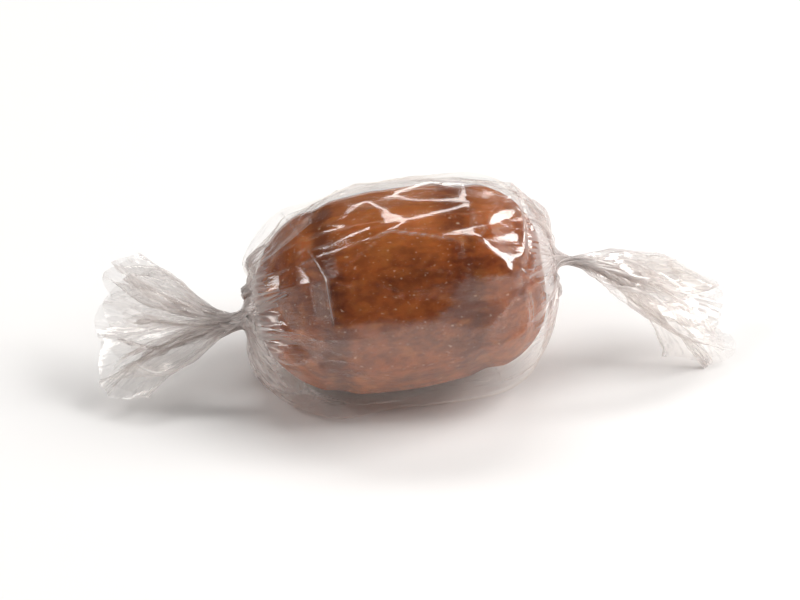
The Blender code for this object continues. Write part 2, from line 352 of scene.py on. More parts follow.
def grid_mesh(name, points, closed_round):
    """A smooth-shaded mesh over a grid of points (rows, columns, 3), given in millimetres."""
    rows, columns = points.shape[:2]
    index = np.arange(rows * columns).reshape(rows, columns)
    following = np.roll(index, -1, axis=1)
    last = columns if closed_round else columns - 1
    corners = [index[:-1, :last], following[:-1, :last], following[1:, :last], index[1:, :last]]
    quads = np.stack(corners, axis=-1).reshape(-1, 4)
    mesh = bpy.data.meshes.new(name)
    mesh.from_pydata((points.reshape(-1, 3) * MM).tolist(), [], quads.tolist())
    mesh.shade_smooth()
    return add_object(name, mesh)


# -------------------- the sweet

def barrel_radius(x):
    """The barrel's radius at x: a bulge with rounded rims."""
    run = np.where(x < 0.0, RIM_LENGTH[LEFT], RIM_LENGTH[RIGHT])
    drop = np.where(x < 0.0, RIM_DROP[LEFT], RIM_DROP[RIGHT])
    bulge = BELLY_RADIUS - (BELLY_RADIUS - RIM_RADIUS) * (x / HALF_LENGTH) ** 2
    past = np.clip((np.abs(x) - HALF_LENGTH + run) / run, 0.0, 1.0)
    return bulge - drop * (1.0 - np.sqrt(1.0 - past * past)) ** RIM_CURVE


def barrel_profile(turn_to):
    """(x, radius) from the left rim over the belly to the right rim."""
    turn = turn_to * np.arange(1, RIM_POINTS + 1) / RIM_POINTS
    left = -(HALF_LENGTH - RIM_LENGTH[LEFT] + RIM_LENGTH[LEFT] * np.sin(turn[::-1]))
    right = HALF_LENGTH - RIM_LENGTH[RIGHT] + RIM_LENGTH[RIGHT] * np.sin(turn)
    middle = np.linspace(-HALF_LENGTH + RIM_LENGTH[LEFT], HALF_LENGTH - RIM_LENGTH[RIGHT], BELLY_POINTS)
    x = np.concatenate([left, middle, right])
    return np.stack([x, barrel_radius(x)], axis=1)


def hoop_groove(x):
    """The depth of the hoop grooves at x along the barrel."""
    depth = 0.0
    for side in SIDES:
        away = np.clip(np.abs(x - side * HOOP_PLACE) / (HOOP_WIDTH / 2.0), 0.0, 1.0)
        depth = depth + HOOP_DEPTH * (0.5 + 0.5 * np.cos(math.pi * away))
    return depth


def stave_dip(angle):
    """How far a flat stave lies inside the barrel's circle, as a part of its radius."""
    step = FULL_TURN / STAVES
    off_middle = (angle + step / 2.0) % step - step / 2.0
    return STAVE_FLATNESS * (1.0 - math.cos(step / 2.0) / np.cos(off_middle))


def round_barrel(x, radius, angle):
    """Points in the barrel's own frame, from their place along it, radius and angle."""
    x = np.broadcast_to(x, radius.shape)
    return np.stack([x, radius * np.cos(angle), radius * np.sin(angle)], axis=-1)


def make_candy():
    """The barrel, in its own frame with +X along it."""
    profile = barrel_profile(FULL_RIM_TURN)
    outline = np.concatenate([[(profile[0, 0], 0.0)], profile, [(profile[-1, 0], 0.0)]])
    way = way_along(outline)
    rows = between_known(np.linspace(0.0, way[-1], CANDY_ROWS), way, outline)
    x, radius = rows[:, :1], rows[:, 1:]
    angle = FULL_TURN * np.arange(CANDY_COLUMNS)[None, :] / CANDY_COLUMNS
    shape = radius * (1.0 - stave_dip(angle)) - hoop_groove(x)
    shape = np.where(radius < PLAIN_END_RADIUS, radius, shape)
    points = round_barrel(x, shape, angle)
    lump = sum(height * lattice_noise(points, size, seed) for size, seed, height in LUMPS)
    points = points + unit(points * np.array(LUMP_WAY)) * lump[..., None]
    candy = grid_mesh("barrel_sweet", points, True)
    lift = Matrix.Translation((0.0, 0.0, CANDY_LIFT * MM))
    candy.matrix_world = lift @ Matrix.Rotation(-CANDY_TILT, 4, "Y")
    return candy


# -------------------- the film

def to_candy(points):
    """World points in the barrel's own frame."""
    x, z = points[..., 0], points[..., 2] - CANDY_LIFT
    return np.stack([x * TILT_COS + z * TILT_SIN, points[..., 1], -x * TILT_SIN + z * TILT_COS], axis=-1)


def from_candy(points):
    """Points of the barrel's own frame in the world."""
    x, z = points[..., 0], points[..., 2]
    up = x * TILT_SIN + z * TILT_COS + CANDY_LIFT
    return np.stack([x * TILT_COS - z * TILT_SIN, points[..., 1], up], axis=-1)


def outward_axis(side):
    """The barrel's direction outward at one end."""
    return side * np.array([TILT_COS, 0.0, TILT_SIN])


def film_profile():
    """(x, radius) of the film from the left neck over the barrel to the right neck."""
    body = barrel_profile(FILM_RIM_TURN)
    slope = np.gradient(body, axis=0)
    out = unit(np.stack([-slope[:, 1], slope[:, 0]], axis=1))
    loose = smooth_step(*LOOSE_END_RANGE, body[:, 1])
    loose = loose * np.where(body[:, 0] < 0.0, END_SLACK[LEFT], END_SLACK[RIGHT])
    body = body + out * loose[:, None]
    return np.concatenate([[(-NECK_REACH, NECK_RADIUS)], body, [(NECK_REACH, NECK_RADIUS)]])


def neck_point(side):
    """The middle of the pinch on one side."""
    on_axis = from_candy(np.array([side * NECK_REACH, 0.0, 0.0]))
    return on_axis + np.array([0.0, 0.0, NECK_SHIFT[side]])


def tail_curve(side):
    """The tail's middle line: each point's share of the curve, place, heading and way along it."""
    a = neck_point(side)
    d = np.array(TAIL_END[side])
    b = a + outward_axis(side) * np.linalg.norm(d - a) * TAIL_LEAVES
    c = d - (d - a) * TAIL_ARRIVES
    share = np.linspace(0.0, 1.0, CURVE_POINTS)[:, None]
    rest = 1.0 - share
    place = a * rest ** 3 + b * 3 * rest ** 2 * share + c * 3 * rest * share ** 2 + d * share ** 3
    heading = unit((b - a) * rest ** 2 + (c - b) * 2 * rest * share + (d - c) * share ** 2)
    return share[:, 0], place, heading, way_along(place)


class TailFrame:
    """The middle line of one tail at some lengths outward from its neck, with three directions there.

    spread goes from 0 at the neck to 1 at the tail's end, and opened is 0 where the tail is a
    twisted rope and 1 where it is a fan.
    """

    def __init__(self, side, lengths):
        share, place, heading, way = tail_curve(side)
        self.shares = np.interp(lengths, way, share)
        self.centre = between_known(self.shares, share, place)
        self.along = unit(between_known(self.shares, share, heading))
        edge = unit(np.array(TAIL_EDGE[side]))
        flat = unit(edge - self.along * (self.along @ edge)[:, None])
        turn = NECK_TURN[side] * (1.0 - smooth_step(*NECK_TURN_RUN, self.shares))[:, None]
        self.across = flat * np.cos(turn) + np.cross(self.along, flat) * np.sin(turn)
        self.up = np.cross(self.along, self.across) * side
        self.spread = np.maximum(0.0, self.shares - FAN_STARTS)[:, None] / (1.0 - FAN_STARTS)
        self.opened = smooth_step(FAN_STARTS, FAN_OPEN, self.shares)[:, None]

    def measure(self, points):
        """How far along, across and up from the middle line the points are."""
        off = points - self.centre[:, None]
        return [(off * way[:, None]).sum(-1) for way in (self.along, self.across, self.up)]

    def place(self, a, p, q):
        """The points that are a along, p across and q up from the middle line."""
        points = self.centre[:, None] + self.along[:, None] * a[..., None]
        points = points + self.across[:, None] * p[..., None]
        return points + self.up[:, None] * q[..., None]


def folded_part(angle):
    """Where an angle round the flattened tube lies across it, from -1 to 1."""
    turned = np.mod(angle, FULL_TURN)
    return np.where(turned < math.pi, 1.0 - 2.0 * turned / math.pi, 2.0 * turned / math.pi - 3.0)


def bundled(part):
    """Where a tail's film lies across its fan, from -1 to 1: open amid, and bundled at each side."""
    return np.tanh(TAIL_BUNDLED * part) / math.tanh(TAIL_BUNDLED)


def bundled_slope(part):
    """How fast bundled grows."""
    return TAIL_BUNDLED * (1.0 - np.tanh(TAIL_BUNDLED * part) ** 2) / math.tanh(TAIL_BUNDLED)


def fan_creases(film, side):
    """The tail's knife pleats: each crease's place in the sheet, across, up, and share of length added."""
    draw = np.random.default_rng(TAIL_SEED[side])
    half = TAIL_HALF_WIDTH[side]
    place = film.way_round(SEAM_ANGLE)
    last = place + film.width
    creases = []
    while place < last + CREASES_PAST_EDGE:
        part = folded_part(film.angle_at(place))
        across = half * bundled(part)
        open_share = min(MOST_OPEN, half / (film.tube / 4.0) * bundled_slope(part))
        run = draw.uniform(*FAN_PLEAT_WIDTHS) * (FAN_PLEAT_LEAST + FAN_PLEAT_OPEN_MORE * open_share)
        back = run * (1.0 - open_share) / (1.0 + open_share)
        ahead = folded_part(film.angle_at(place + run + back))
        way = np.sign(half * bundled(ahead) - across) or 1.0
        for step, shift in ((0.0, 0.0), (run, way * run * FAN_PLEAT_TILT)):
            lift, longer = draw.uniform(-1.0, 1.0, 2)
            creases.append((place + step, across + shift, lift * TAIL_FOLD_DEPTH, longer * TAIL_UNEVEN))
        place += run + back
    return np.array(creases)


class Film:
    """The flat sheet: its rows along the wrapper, its columns round it, and the pleats of its tails."""

    def __init__(self):
        self.profile = film_profile()
        self.run = way_along(self.profile)
        self.body_length = self.run[-1]
        self.tail_length = {side: tail_curve(side)[-1][-1] for side in SIDES}
        self.length = self.body_length + self.tail_length[LEFT] + self.tail_length[RIGHT]
        self.tube = FULL_TURN * (BELLY_RADIUS + FILM_GAP) + SLACK_ROUND
        self.width = self.tube * (1.0 + OVERLAP)
        self.creases = {side: fan_creases(self, side) for side in SIDES}

    def rows(self, count):
        """Each row's length from the left neck: negative on the left tail."""
        return np.linspace(-self.tail_length[LEFT], self.body_length + self.tail_length[RIGHT], count)

    def angles(self, count):
        """Each column's angle round the wrapper."""
        return SEAM_ANGLE + FULL_TURN * (1.0 + OVERLAP) * np.linspace(0.0, 1.0, count)

    def way_round(self, angle):
        """How far round the wrapper an angle is."""
        return angle * self.tube / FULL_TURN

    def angle_at(self, place):
        """The angle of a place round the wrapper."""
        return FULL_TURN * place / self.tube

    def inward(self, s):
        """How far the length s is inward from the nearer neck: negative on the tails."""
        return np.minimum(s, self.body_length - s)

    def places(self, points):
        """How far across and along the flat sheet each point of the grid is."""
        rows, columns = points.shape[:2]
        return np.meshgrid(np.linspace(0.0, self.width, columns), self.rows(rows))

    def unevenness(self, side, angle):
        """How much longer or shorter the tail is at each angle, as a part of its length."""
        creases = self.creases[side]
        return np.interp(self.way_round(angle), creases[:, 0], creases[:, 3])


def pinch_angle(side):
    """How far the twist has turned the film at the pinch, from its place on the barrel."""
    along = outward_axis(side)
    barrel_up = np.array([-TILT_SIN, 0.0, TILT_COS])
    edge = np.array(TAIL_EDGE[side])
    flat = unit(edge - along * (along @ edge))
    angle = math.atan2(flat @ barrel_up, flat[1]) + side * NECK_TURN[side]
    return (angle + math.pi) % FULL_TURN - math.pi


def lowness(angle):
    """1 on the slack film under the barrel, and 0 on the tight film over it."""
    return smooth_step(*LOW_RANGE, np.sin(angle))


def pleat_wave(angle):
    """The end pleats' height round the wrapper, as a share of their depth."""
    draw = np.random.default_rng(FILM_SEED)
    places = FULL_TURN * (np.arange(PLEATS) + draw.uniform(-PLEAT_SHIFT, PLEAT_SHIFT, PLEATS)) / PLEATS
    heights = draw.uniform(*PLEAT_HEIGHTS, PLEATS)
    away = (angle[..., None] - places + math.pi) % FULL_TURN - math.pi
    tent = np.maximum(0.0, 1.0 - np.abs(away) * PLEATS / math.pi) * heights
    return tent.sum(axis=-1)


def pleat_depth(film, radius):
    """How deep the end pleats are, to take up the film's width where the wrapper narrows."""
    around = FULL_TURN * radius + SLACK_ROUND * smooth_step(*SLACK_ROUND_RANGE, radius)
    half_real = film.tube / (2.0 * PLEATS)
    half_seen = around / (2.0 * PLEATS)
    depth = np.sqrt(np.maximum(0.0, half_real ** 2 - half_seen ** 2))
    return depth * smooth_step(*PLEAT_NECK_RANGE, radius) * smooth_step(*PLEAT_BELLY_RANGE, radius)


def body_points(film, s, angle):
    """The film round the barrel at length s from the left neck."""
    x = np.interp(s, film.run, film.profile[:, 0])[:, None]
    radius = np.interp(s, film.run, film.profile[:, 1])[:, None]
    slope_x = np.gradient(x[:, 0])[:, None]
    slope_r = np.gradient(radius[:, 0])[:, None]
    size = np.hypot(slope_x, slope_r) + TINY
    out_x, out_r = -slope_r / size, slope_x / size
    low = lowness(angle)
    to_right = smooth_step(-HALF_LENGTH, HALF_LENGTH, x)
    slack = (SLACK[LEFT] + (SLACK[RIGHT] - SLACK[LEFT]) * to_right) * low
    height = pleat_wave(angle) * pleat_depth(film, radius)
    radial = radius + (FILM_GAP + slack) * smooth_step(NECK_RADIUS, BELLY_RADIUS, radius) + height * out_r
    local_x = x + height * out_x - POUCH_LEFT * low * hump(*POUCH_RUN_AND_FADE, s)[:, None]
    near = {LEFT: s[:, None], RIGHT: film.body_length - s[:, None]}
    turned = angle + sum(pinch_angle(side) * smooth_step(*SHOULDER_TWIST_RUN, near[side]) for side in SIDES)
    world = from_candy(round_barrel(local_x, radial, turned))
    for side in SIDES:
        world[..., 2] += NECK_SHIFT[side] * smooth_step(*NECK_SHIFT_RUN, near[side])
    return world


def swept(across, out, half):
    """How far the fan's sides fall back along the tail, as its creases are all about as long."""
    return -across * across / (2.0 * np.maximum(out, 2.0 * half))


def tail_points(film, side, lengths, angle):
    """The film of one neck and tail: a lobed rope that opens to a pleated fan."""
    tail = TailFrame(side, lengths)
    share = tail.shares[:, None]
    out = lengths[:, None]
    half = TAIL_HALF_WIDTH[side]
    creases = film.creases[side]
    place = film.way_round(angle)
    front = np.where(np.mod(angle, FULL_TURN) < math.pi, 1.0, -1.0)
    belly = FAN_BELLY * front * (1.0 - folded_part(angle) ** 2)
    width = (NECK_RADIUS + (half - NECK_RADIUS) * tail.spread) / half
    fan_p = width * np.interp(place, creases[:, 0], creases[:, 1])
    fan_q = width * (np.interp(place, creases[:, 0], creases[:, 2]) + belly)
    fold = 2.0 * np.abs(np.mod(place / NECK_FOLD_WIDTH, 1.0) - 0.5) - 0.5
    fan_q = fan_q + fold * NECK_FOLD_DEPTH * smooth_step(*NECK_FOLD_FADE, share)
    lobe = 1.0 - NECK_LOBE_DEPTH + NECK_LOBE_DEPTH * np.cos(NECK_LOBES * angle + NECK_LOBE_TWIST * share)
    lobe = NECK_RADIUS * lobe
    p = lobe * np.cos(angle) * (1.0 - tail.opened) + fan_p * tail.opened
    q = lobe * np.sin(angle) * (1.0 - tail.opened) + fan_q * tail.opened
    a = swept(p, out, half) * tail.opened + film.unevenness(side, angle) * out
    return tail.place(a, p, q)


def film_start(film, rows, columns):
    """The film's form before it is relaxed."""
    s = film.rows(rows)
    angle = film.angles(columns)[None, :]
    on_body = (s >= 0.0) & (s <= film.body_length)
    points = np.zeros((rows, columns, 3))
    points[on_body] = body_points(film, s[on_body], angle)
    points[s < 0.0] = tail_points(film, LEFT, -s[s < 0.0], angle)
    points[s > film.body_length] = tail_points(film, RIGHT, s[s > film.body_length] - film.body_length, angle)
    return points


def hold_length(first, second, rest, push):
    """Move the pairs of points towards their rest distance."""
    gap = second - first
    length = np.sqrt((gap * gap).sum(axis=-1, keepdims=True)) + TINY
    off = (length - rest) / length
    share = np.where(off > 0.0, PULL, push) * 0.5
    shift = gap * off * share
    first += shift
    second -= shift


def hold_sheet(points, du, dv):
    """One pass over the sheet's edges and diagonals; dv is each lengthwise edge's rest length."""
    slant = np.hypot(du, dv)
    slant_push = PUSH * DIAGONAL_PUSH
    for start in (0, 1):
        here, following = slice(start, -1, 2), slice(start + 1, None, 2)
        hold_length(points[:, here], points[:, following], du, PUSH)
        hold_length(points[here], points[following], dv[start::2], PUSH)
        hold_length(points[:-1, here], points[1:, following], slant[:, here], slant_push)
        hold_length(points[1:, here], points[:-1, following], slant[:, following], slant_push)


def stiffen(points, share, most, reach):
    """Straighten gentle bends along both ways of the sheet, and leave sharp creases."""
    for axis in (0, 1):
        view = points.swapaxes(0, axis)
        a, b, c = view[:-2 * reach], view[reach:-reach], view[2 * reach:]
        bend = 0.5 * (a + c) - b
        size = np.sqrt((bend * bend).sum(axis=-1, keepdims=True)) + TINY
        bend *= share * np.minimum(1.0, most / size)
        b += bend * 0.5
        a -= bend * 0.25
        c -= bend * 0.25


def off_side(local):
    """How far out from the barrel's side the points in its own frame are."""
    x = np.clip(local[..., 0], -HALF_LENGTH, HALF_LENGTH)
    return np.hypot(local[..., 1], local[..., 2]) - barrel_radius(x)


def off_candy(points):
    """How far the points are from the barrel, about."""
    local = to_candy(points)
    return np.maximum(off_side(local), np.abs(local[..., 0]) - HALF_LENGTH)


def keep_off_candy(points, gap):
    """Push points out of the barrel, square to its surface."""
    local = to_candy(points)
    x = np.clip(local[..., 0], -HALF_LENGTH * WITHIN_END, HALF_LENGTH * WITHIN_END)
    radius = np.hypot(local[..., 1], local[..., 2])
    angle = np.arctan2(local[..., 2], local[..., 1])
    limit = barrel_radius(x) * (1.0 - stave_dip(angle)) + gap
    rise = barrel_radius(x + SLOPE_STEP) - barrel_radius(x - SLOPE_STEP)
    slope = np.clip(rise / (2.0 * SLOPE_STEP), -STEEPEST, STEEPEST)
    over = np.where(np.abs(local[..., 0]) < HALF_LENGTH + gap, np.maximum(limit - radius, 0.0), 0.0)
    shift = over / (1.0 + slope * slope)
    local[..., 0] -= slope * shift
    scale = (radius + shift) / np.maximum(radius, NEARLY)
    local[..., 1:] *= scale[..., None]
    points[:] = from_candy(local)


def keep_in_tails(film, points, s):
    """Hold the necks in their twist and the tails near their fan."""
    angle = film.angles(points.shape[1])[None, :]
    for side in SIDES:
        outward = -s if side == LEFT else s - film.body_length
        rows = np.nonzero(outward > -NECK_HOLD)[0]
        lengths = np.maximum(outward[rows], 0.0)
        tail = TailFrame(side, lengths)
        a, p, q = tail.measure(points[rows])
        width = TAIL_HALF_WIDTH[side]
        half = NECK_RADIUS + (width * FAN_SIDE_ROOM - NECK_RADIUS) * tail.spread
        deep = NECK_RADIUS + (TAIL_FOLD_DEPTH * FAN_FOLD_ROOM - NECK_RADIUS) * tail.spread
        rope_shrink = 1.0 / np.maximum(1.0, np.sqrt((p / half) ** 2 + (q / deep) ** 2))
        fan_shrink = 1.0 / np.maximum(1.0, np.maximum(np.abs(p) / half, np.abs(q) / deep))
        shrink = rope_shrink * (1.0 - tail.opened) + fan_shrink * tail.opened
        p, q = p * shrink, q * shrink
        out = lengths[:, None]
        wanted = swept(p, out, width) * tail.opened + film.unevenness(side, angle) * out
        a = wanted + (a - wanted) * END_FREEDOM
        points[rows] = tail.place(a, p, q)


def rest_lengths(film, rows, columns):
    """How far apart the flat sheet's neighbours are: round the wrapper, and at each edge along it."""
    s = film.rows(rows)
    du = film.width / (columns - 1)
    dv = np.full((rows - 1, columns, 1), film.length / (rows - 1))
    between = 0.5 * (s[1:] + s[:-1])
    angle = film.angles(columns)
    for side, on_tail in ((LEFT, between < 0.0), (RIGHT, between > film.body_length)):
        dv[on_tail] *= 1.0 + film.unevenness(side, angle)[None, :, None]
    pouch = hump(*STRETCH_RUN_AND_FADE, between)
    dv *= 1.0 + POUCH_STRETCH * (lowness(angle)[None, :] * pouch[:, None])[..., None]
    return du, dv


def relax(film, points, steps, sag):
    """Bring the film near its flat size, clear of the sweet and the floor."""
    rows, columns = points.shape[:2]
    s = film.rows(rows)
    du, dv = rest_lengths(film, rows, columns)
    sink = sag * smooth_step(*SAG_RUN, film.inward(s))[:, None]
    for _ in range(steps):
        for stiffness in STIFFNESS:
            stiffen(points, *stiffness)
        points[..., 2] -= sink
        hold_sheet(points, du, dv)
        keep_off_candy(points, FILM_GAP)
        keep_in_tails(film, points, s)
        points[..., 2] = np.maximum(points[..., 2], FLOOR_GAP)


def doubled(points):
    """The grid with a point added between each two."""
    for axis in (0, 1):
        view = points.swapaxes(0, axis)
        finer = np.empty((view.shape[0] * 2 - 1,) + view.shape[1:])
        finer[::2] = view
        finer[1::2] = 0.5 * (view[:-1] + view[1:])
        points = finer.swapaxes(0, axis)
    return np.ascontiguousarray(points)


def outward_normals(points):
    """The sheet's unit normals on its side away from the sweet."""
    normals = unit(np.cross(np.gradient(points, axis=1), np.gradient(points, axis=0)))
    row = points.shape[0] // 2
    on_axis = from_candy(to_candy(points[row]) * np.array([1.0, 0.0, 0.0]))
    return normals * np.sign((normals[row] * (points[row] - on_axis)).sum())


def facet_corners(film, spacing, stretch, seed):
    """Uneven places (across, along) over the whole sheet, and the triangles between them."""
    draw = np.random.default_rng(seed)
    first, last = film.rows(2)
    columns = round(film.width / spacing) + 1
    rows = round((last - first) / (spacing * stretch)) + 1
    step = np.array([film.width / (columns - 1), (last - first) / (rows - 1)])
    even = np.stack(np.meshgrid(np.arange(columns), np.arange(rows)), axis=-1) * step
    shift = draw.uniform(-FACET_SHIFT, FACET_SHIFT, even.shape) * step
    shift[:, (0, -1), 0] = 0.0
    shift[(0, -1), :, 1] = 0.0
    corners = (even + shift).reshape(-1, 2) + np.array([0.0, first])
    flat = [Vector(corner) for corner in (corners / np.array([1.0, stretch])).tolist()]
    triangles = delaunay_2d_cdt(flat, [], [], 0, NEARLY)[2]
    return corners, triangles


def spread_flat(corners, triangles, values, w, s):
    """Values given at the corners, spread flat over each triangle of the sheet."""
    found = np.zeros(w.shape + values.shape[1:])
    for triangle in triangles:
        a, b, c = corners[list(triangle)]
        near = (w > min(a[0], b[0], c[0]) - NEARLY) & (w < max(a[0], b[0], c[0]) + NEARLY)
        near &= (s > min(a[1], b[1], c[1]) - NEARLY) & (s < max(a[1], b[1], c[1]) + NEARLY)
        x, y = w[near] - a[0], s[near] - a[1]
        size = (b[0] - a[0]) * (c[1] - a[1]) - (c[0] - a[0]) * (b[1] - a[1])
        share_b = (x * (c[1] - a[1]) - y * (c[0] - a[0])) / size
        share_c = (y * (b[0] - a[0]) - x * (b[1] - a[1])) / size
        shares = np.stack([1.0 - share_b - share_c, share_b, share_c], axis=-1)
        inside = (shares > -NEARLY).all(axis=-1)
        part = found[near]
        part[inside] = shares[inside] @ values[list(triangle)]
        found[near] = part
    return found


def on_sheet(film, points, corners):
    """Where the sheet's places (across, along) are in space."""
    rows, columns = points.shape[:2]
    first, last = film.rows(2)
    row = np.clip((corners[:, 1] - first) / (last - first) * (rows - 1), 0, rows - 1).round().astype(int)
    column = np.clip(corners[:, 0] / film.width * (columns - 1), 0, columns - 1).round().astype(int)
    return points[row, column]


def lay_edges(points):
    """Lay the sheet's two free edges on the barrel like the film beside them."""
    local = to_candy(points)
    radius = np.hypot(local[..., 1], local[..., 2])
    clear = off_side(local)
    share = smooth_step(*EDGE_LAY_RUN, np.abs(local[..., 0]))
    first = (slice(0, EDGE_COLUMNS), EDGE_COLUMNS)
    last = (slice(-EDGE_COLUMNS, None), -EDGE_COLUMNS - 1)
    for edge, beside in (first, last):
        lift = clear[:, edge] - clear[:, beside][:, None]
        scale = 1.0 - share[:, edge] * lift / radius[:, edge]
        local[:, edge, 1:] *= scale[..., None]
    points[:] = from_candy(local)


def raise_facets(film, points, outside, draw):
    """Where the film lies near the sweet, stand it off in large flat facets."""
    w, s = film.places(points)
    corners, triangles = facet_corners(film, LARGE_FACET, LARGE_STRETCH, LARGE_SEED)
    lift = on_sheet(film, outside, corners) * draw.uniform(*LARGE_LIFTS, (len(corners), 1))
    flat = spread_flat(corners, triangles, on_sheet(film, points, corners) + lift, w, s)
    share = smooth_step(*LARGE_RUN, film.inward(s)) * smooth_step(*LARGE_GAP_RANGE, off_candy(points))
    return points * (1.0 - share[..., None]) + flat * share[..., None]


def crease_finely(film, points, outside, draw):
    """Crease the sheet in smaller facets, longer than they are wide."""
    w, s = film.places(points)
    inward = film.inward(s)
    near_end = smooth_step(*RIM_CREASE_RUN, inward)
    on_body = smooth_step(*BODY_CREASE_RUN, inward)
    in_tail = smooth_step(*TAIL_CREASE_RUN, inward)
    middle = 0.5 * smooth_step(*BOTH_WAYS_RANGE, off_candy(points))
    for spacing, stretch, seed, on_barrel, on_rim, on_tail in FINE_CREASES:
        corners, triangles = facet_corners(film, spacing, stretch, seed)
        lift = spread_flat(corners, triangles, draw.uniform(0.0, 1.0, (len(corners), 1)), w, s)[..., 0]
        height = (lift - middle) * (on_barrel + on_rim * near_end) * on_body
        height = height + (lift - 0.5) * on_tail * in_tail
        points = points + outside * height[..., None]
    return points


def crumple(film, points):
    """Crease the whole sheet in flat facets, with the overlap's outer layer on top."""
    outside = outward_normals(points)
    draw = np.random.default_rng(FILM_SEED)
    points = raise_facets(film, points, outside, draw)
    points = crease_finely(film, points, outside, draw)
    outer = LAYER_GAP * smooth_step(film.width - film.tube, film.tube, film.places(points)[0])
    keep_off_candy(points, FILM_GAP * 0.5 + outer)
    points[..., 2] = np.maximum(points[..., 2], FLOOR_GAP)
    return points


def fold_sharpness(points):
    """How sharply the sheet bends at each point, in radians."""
    bend = np.zeros(points.shape[:2])
    for axis in (0, 1):
        view = points.swapaxes(0, axis)
        before, here, after = view[:-2], view[1:-1], view[2:]
        first, second = unit(here - before), unit(after - here)
        turn = np.arccos(np.clip((first * second).sum(-1), -1.0, 1.0))
        along = bend.swapaxes(0, axis)
        along[1:-1] = np.maximum(along[1:-1], turn)
    return bend


def film_sheet(film):
    """The film's finished grid of points."""
    points = film_start(film, *COARSE_GRID)
    draw = np.random.default_rng(FILM_SEED)
    points += draw.normal(0.0, START_NOISE, points.shape)
    relax(film, points, *COARSE_STEPS_AND_SAG)
    points = doubled(points)
    relax(film, points, *FINE_STEPS_AND_SAG)
    for _ in range(SMOOTHING_STEPS):
        stiffen(points, *SMOOTHING)
    lay_edges(points)
    return crumple(film, points)


def make_film():
    """The wrapper's film, with what its material reads from its points."""
    film = Film()
    points = film_sheet(film)
    piece = grid_mesh("clear_film", points, False)
    w, s = film.places(points)
    inward = film.inward(s)
    numbers = {
        "crease": smooth_step(*CREASE_BEND_RANGE, fold_sharpness(points)),
        "tail": smooth_step(*TAIL_LOOK_RUN, inward),
        "neck": smooth_step(*NECK_LOOK_RUN, np.abs(inward)),
        "ripple": LEAST_RIPPLE + (1.0 - LEAST_RIPPLE) * smooth_step(*RIPPLE_RUN, inward),
        "around": w,
        "along": s,
    }
    for name, values in numbers.items():
        layer = piece.data.attributes.new(name, "FLOAT", "POINT")
        layer.data.foreach_set("value", np.ascontiguousarray(values, dtype=np.float32).ravel())
    return piece


# -------------------- materials

def new_material(name):
    """An empty node material, its tree and its output."""
    material = bpy.data.materials.new(name)
    material.use_nodes = True
    tree = material.node_tree
    tree.nodes.clear()
    output = tree.nodes.new("ShaderNodeOutputMaterial")
    return material, tree, output


def set_inputs(node, values):
    """Give a node's named inputs their numbers."""
    for name, value in values.items():
        node.inputs[name].default_value = value


def math_node(tree, operation, *values):
    """A Math node whose inputs are numbers or sockets."""
    node = tree.nodes.new("ShaderNodeMath")
    node.operation = operation
    for socket, value in zip(node.inputs, values):
        if isinstance(value, (int, float)):
            socket.default_value = value
        else:
            tree.links.new(value, socket)
    return node.outputs[0]


def noise_node(tree, coords, scale, detail):
    """A noise texture, with its scale along each axis; its value is about 0.5."""
    stretch = tree.nodes.new("ShaderNodeVectorMath")
    stretch.operation = "MULTIPLY"
    tree.links.new(coords, stretch.inputs[0])
    stretch.inputs[1].default_value = scale
    noise = tree.nodes.new("ShaderNodeTexNoise")
    set_inputs(noise, {"Scale": 1.0, "Detail": detail})
    tree.links.new(stretch.outputs[0], noise.inputs["Vector"])
    return noise.outputs["Fac"]


def ramp_node(tree, value, start, end, at_end, at_start=0.0):
    """A clamped smooth ramp from at_start to at_end, as the value goes from start to end."""
    node = tree.nodes.new("ShaderNodeMapRange")
    node.interpolation_type = "SMOOTHSTEP"
    low, high = min(start, end), max(start, end)
    at_low, at_high = (at_start, at_end) if start < end else (at_end, at_start)
    set_inputs(node, {"From Min": low, "From Max": high, "To Min": at_low, "To Max": at_high})
    tree.links.new(value, node.inputs["Value"])
    return node.outputs[0]


def millimetre_ramp(tree, value, start, end, at_end):
    """A ramp from 0 whose start and end are in millimetres."""
    return ramp_node(tree, value, start * MM, end * MM, at_end)


def mix_colours(tree, share, first, second):
    """One colour or socket mixed into another."""
    node = tree.nodes.new("ShaderNodeMix")
    node.data_type = "RGBA"
    tree.links.new(share, node.inputs["Factor"])
    for socket, value in ((node.inputs["A"], first), (node.inputs["B"], second)):
        if isinstance(value, tuple):
            socket.default_value = (*value, 1.0)
        else:
            tree.links.new(value, socket)
    return node.outputs["Result"]


def attribute_node(tree, name):
    """A number kept on the mesh's points."""
    node = tree.nodes.new("ShaderNodeAttribute")
    node.attribute_name = name
    return node.outputs["Fac"]


def bump_node(tree, height, strength, distance):
    """The normal of a bumpy surface."""
    node = tree.nodes.new("ShaderNodeBump")
    set_inputs(node, {"Strength": strength, "Distance": distance})
    tree.links.new(height, node.inputs["Height"])
    return node.outputs[0]


def coloured_shader(tree, kind, colour):
    """A shader node of one plain colour."""
    node = tree.nodes.new(kind)
    set_inputs(node, {"Color": (*colour, 1.0)})
    return node


def mix_shaders(tree, share, first, second):
    """One shader mixed into another."""
    node = tree.nodes.new("ShaderNodeMixShader")
    if isinstance(share, float):
        node.inputs[0].default_value = share
    else:
        tree.links.new(share, node.inputs[0])
    tree.links.new(first, node.inputs[1])
    tree.links.new(second, node.inputs[2])
    return node.outputs[0]


